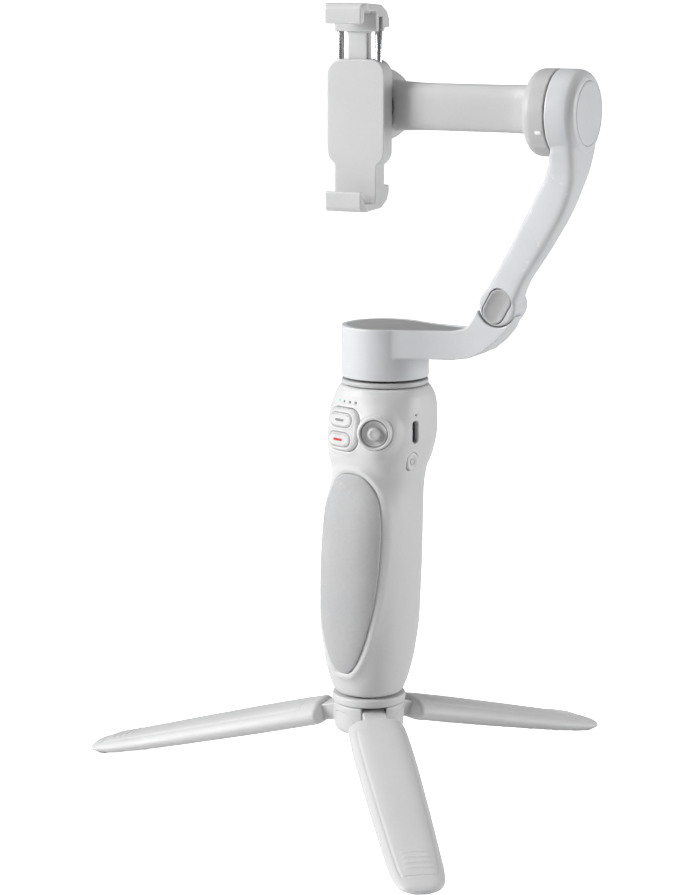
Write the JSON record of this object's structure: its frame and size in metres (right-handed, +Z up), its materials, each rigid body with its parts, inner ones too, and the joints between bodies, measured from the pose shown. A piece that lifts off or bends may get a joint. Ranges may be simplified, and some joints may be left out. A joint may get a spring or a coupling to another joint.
{
  "type": "gimbal stabilizer",
  "caption": "Hand-held three-axis gimbal stabilizer with a spring phone clamp, folding arm, control handle and folding tripod legs.",
  "frame": {"origin": "on the surface the tripod stands on, under the middle of the whole part", "axes": "+Z up along the pan axis, -Y towards the user's side and the phone's screen, +X towards the tilt motor"},
  "size_m": [0.2272, 0.2226, 0.3174],
  "materials": {
    "shell_white": "fine satin texture",
    "key_white": "smooth satin",
    "grip_grey": "fine matte soft touch",
    "trim_grey": "smooth matte",
    "foot_rubber": "matte",
    "steel": "turned",
    "rod_aluminium": "anodised satin",
    "copper": "enamelled copper wire",
    "brass": "turned",
    "board_green": "solder mask",
    "cell_blue": "shrink film",
    "light_guide": "translucent",
    "mark_white": "smooth"
  },
  "bodies": {
    "tripod": {"tripod_hub": "shell_white", "tripod_collar": "shell_white", "tripod_screw": "steel", "leg_1_pin": "steel", "leg_2_pin": "steel", "leg_3_pin": "steel"},
    "leg_1": {"leg_1": "shell_white", "leg_1_foot": "foot_rubber"},
    "leg_2": {"leg_2": "shell_white", "leg_2_foot": "foot_rubber"},
    "leg_3": {"leg_3": "shell_white", "leg_3_foot": "foot_rubber"},
    "handle": {"handle_front_shell": "shell_white", "handle_rear_shell": "shell_white", "grip_pad": "grip_grey", "control_panel": "shell_white", "joystick_collar": "shell_white", "indicator_light_guide": "light_guide", "charge_light": "light_guide", "usb_c_socket": "steel", "main_board": "board_green", "battery_pack": "cell_blue", "rod_guide": "rod_aluminium", "tripod_socket": "brass", "handle_base_cap": "shell_white"},
    "mode_key": {"mode_button": "key_white"},
    "record_key": {"record_button": "key_white"},
    "joystick_ring": {"joystick_ring": "steel"},
    "joystick_cap": {"joystick_cap": "key_white"},
    "power_key": {"power_button": "key_white"},
    "zoom_key": {"zoom_rocker": "trim_grey"},
    "trigger_key": {"trigger": "trim_grey"},
    "rod_outer": {"extension_rod_outer": "rod_aluminium"},
    "pan_base": {"extension_rod_inner": "rod_aluminium", "pan_base": "shell_white", "pan_stator": "copper"},
    "pan_arm": {"lower_arm": "shell_white", "lower_arm_cover": "trim_grey", "pan_magnet_ring": "steel", "pan_shaft": "steel", "fold_pin": "steel"},
    "upper_arm": {"upper_arm": "shell_white", "upper_arm_cover": "shell_white", "tilt_stator": "copper"},
    "fold_key": {"fold_lock_button": "trim_grey"},
    "tilt_frame": {"tilt_bracket": "shell_white", "roll_motor_cap": "trim_grey", "tilt_index_mark": "mark_white", "roll_stator": "copper", "tilt_shaft": "steel", "tilt_magnet_ring": "steel"},
    "clamp": {"clamp_body": "shell_white", "roll_rotor": "steel", "clamp_lower_pad": "foot_rubber", "clamp_spring": "steel"},
    "clamp_jaw": {"clamp_upper_jaw": "shell_white", "clamp_upper_pad": "foot_rubber", "clamp_rod_left": "steel", "clamp_rod_right": "steel"}
  },
  "joints": [
    {"name": "tripod_turn", "type": "hinge", "parent": "tripod", "child": "handle", "pos_m": [0.01303, -0.00667, 0.04], "axis": [0, 0, 1], "continuous": true},
    {"name": "leg_1_fold", "type": "hinge", "parent": "tripod", "child": "leg_1", "pos_m": [0.01718, 0.00287, 0.031], "axis": [-0.9171, 0.3987, 0], "range_deg": [0, 75]},
    {"name": "leg_2_fold", "type": "hinge", "parent": "tripod", "child": "leg_2", "pos_m": [0.0027, -0.00785, 0.031], "axis": [0.1132, -0.9936, 0], "range_deg": [0, 75]},
    {"name": "leg_3_fold", "type": "hinge", "parent": "tripod", "child": "leg_3", "pos_m": [0.01922, -0.01503, 0.031], "axis": [0.8039, 0.5948, 0], "range_deg": [0, 75]},
    {"name": "mode_press", "type": "slide", "parent": "handle", "child": "mode_key", "axis": [0.4147, 0.91, 0], "range_m": [0, 0.0006], "stiffness_N_per_m": 450},
    {"name": "record_press", "type": "slide", "parent": "handle", "child": "record_key", "axis": [0.4147, 0.91, 0], "range_m": [0, 0.0006], "stiffness_N_per_m": 450},
    {"name": "joystick_up_down", "type": "hinge", "parent": "handle", "child": "joystick_ring", "pos_m": [0.02063, -0.01541, 0.1496], "axis": [0.9455, 0.3256, 0], "range_deg": [-10, 10], "stiffness_Nm_per_rad": 0.02},
    {"name": "joystick_left_right", "type": "hinge", "parent": "joystick_ring", "child": "joystick_cap", "pos_m": [0.02063, -0.01541, 0.1496], "axis": [0, 0, 1], "range_deg": [-10, 10], "stiffness_Nm_per_rad": 0.02},
    {"name": "power_press", "type": "slide", "parent": "handle", "child": "power_key", "axis": [-0.9272, 0.3746, 0], "range_m": [0, 0.0005], "stiffness_N_per_m": 450},
    {"name": "zoom_rock", "type": "hinge", "parent": "handle", "child": "zoom_key", "pos_m": [-0.00355, 0.00519, 0.148], "axis": [-0.1736, -0.9848, 0], "range_deg": [-5, 5], "stiffness_Nm_per_rad": 0.04},
    {"name": "trigger_pull", "type": "hinge", "parent": "handle", "child": "trigger_key", "pos_m": [0.01782, 0.02047, 0.1512], "axis": [-0.9848, 0.1736, 0], "range_deg": [0, 4], "stiffness_Nm_per_rad": 0.15},
    {"name": "rod_extend_lower", "type": "slide", "parent": "handle", "child": "rod_outer", "axis": [0, 0, 1], "range_m": [0, 0.07]},
    {"name": "rod_extend_upper", "type": "slide", "parent": "rod_outer", "child": "pan_base", "axis": [0, 0, 1], "range_m": [0, 0.066]},
    {"name": "pan", "type": "hinge", "parent": "pan_base", "child": "pan_arm", "pos_m": [0.01485, 0.00367, 0.169], "axis": [0, 0, 1], "range_deg": [-150, 150]},
    {"name": "arm_fold", "type": "hinge", "parent": "pan_arm", "child": "upper_arm", "pos_m": [0.06715, 0.00367, 0.2013], "axis": [0, 1, 0], "range_deg": [-50, 0]},
    {"name": "fold_lock_press", "type": "slide", "parent": "upper_arm", "child": "fold_key", "axis": [0, 1, 0], "range_m": [0, 0.0009], "stiffness_N_per_m": 600},
    {"name": "tilt", "type": "hinge", "parent": "upper_arm", "child": "tilt_frame", "pos_m": [0.09785, -0.02533, 0.278], "axis": [1, 0, 0], "range_deg": [-110, 110]},
    {"name": "roll", "type": "hinge", "parent": "tilt_frame", "child": "clamp", "pos_m": [0.01485, -0.01433, 0.278], "axis": [0, 1, 0], "range_deg": [-40, 40]},
    {"name": "clamp_open", "type": "slide", "parent": "clamp", "child": "clamp_jaw", "axis": [0, 0, 1], "range_m": [-0.009, 0.014], "deforming": ["clamp_spring"]}
  ]
}
